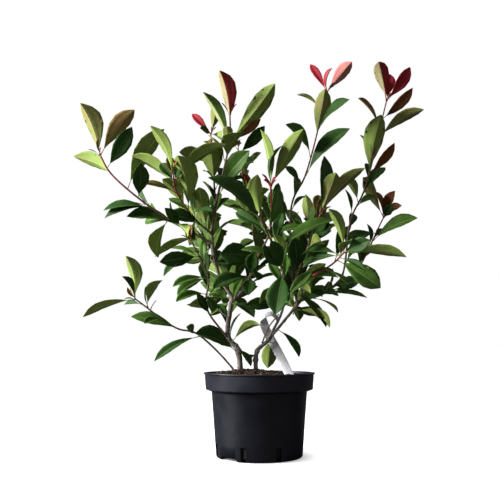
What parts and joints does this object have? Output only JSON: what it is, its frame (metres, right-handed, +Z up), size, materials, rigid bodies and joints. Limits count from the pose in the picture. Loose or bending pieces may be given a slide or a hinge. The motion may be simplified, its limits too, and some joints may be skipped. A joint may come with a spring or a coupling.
{
  "type": "potted shrub",
  "caption": "Young multi-stemmed evergreen shrub with glossy leaves and red new tips, in a round black nursery pot with compost and a bare strap label.",
  "frame": {"origin": "centre of the pot's flat underside", "axes": "+Z straight up, the show side of the crown faces -Y, +X to the right as seen from the show side"},
  "size_m": [0.6418, 0.3998, 0.6956],
  "materials": {
    "pot_plastic": "satin",
    "compost": "matte",
    "label_plastic": "satin",
    "bark": "matte",
    "shoot": "satin",
    "leaf_green": "glossy",
    "leaf_bronze": "glossy",
    "leaf_red": "glossy"
  },
  "bodies": {
    "root": {"pot": "pot_plastic", "compost": "compost", "plant_label": "label_plastic", "left_main_stem": "bark", "left_leader": "bark", "left_inner_limb": "bark", "right_main_stem": "bark", "right_limb": "bark", "right_outer_limb": "bark", "right_inner_limb": "bark", "front_bough": "bark", "low_side_stem": "shoot", "low_left_bough": "shoot", "far_left_bough": "shoot", "upper_left_bough": "shoot", "rear_peak_bough": "shoot", "centre_bough": "shoot", "front_centre_bough": "shoot", "right_peak_bough": "shoot", "right_inner_bough": "shoot", "right_front_bough": "shoot", "far_right_peak_bough": "shoot", "far_right_bough": "shoot", "rear_left_bough": "shoot", "rear_centre_bough": "shoot", "rear_right_bough": "shoot", "rear_low_bough": "shoot", "rear_low_right_bough": "shoot", "far_left_foliage": "leaf_green", "left_shelf_foliage": "leaf_green", "upper_left_foliage": "leaf_green", "left_peak_foliage": "leaf_bronze", "left_collar_foliage": "leaf_green", "rear_peak_foliage": "leaf_bronze", "centre_top_foliage": "leaf_green", "front_centre_foliage": "leaf_green", "front_foliage": "leaf_green", "front_skirt_foliage": "leaf_green", "right_peak_foliage": "leaf_bronze", "right_collar_foliage": "leaf_green", "right_inner_foliage": "leaf_green", "far_right_peak_foliage": "leaf_red", "far_right_collar_foliage": "leaf_green", "far_right_foliage": "leaf_bronze", "right_front_foliage": "leaf_green", "right_heart_foliage": "leaf_green", "right_low_foliage": "leaf_green", "right_skirt_foliage": "leaf_green", "left_heart_foliage": "leaf_green", "left_skirt_foliage": "leaf_green", "low_left_foliage": "leaf_green", "side_stem_foliage": "leaf_green", "side_stem_low_foliage": "leaf_green", "rear_left_foliage": "leaf_green", "rear_centre_foliage": "leaf_green", "rear_right_foliage": "leaf_green", "rear_low_foliage": "leaf_green", "rear_low_right_foliage": "leaf_green"}
  },
  "joints": []
}
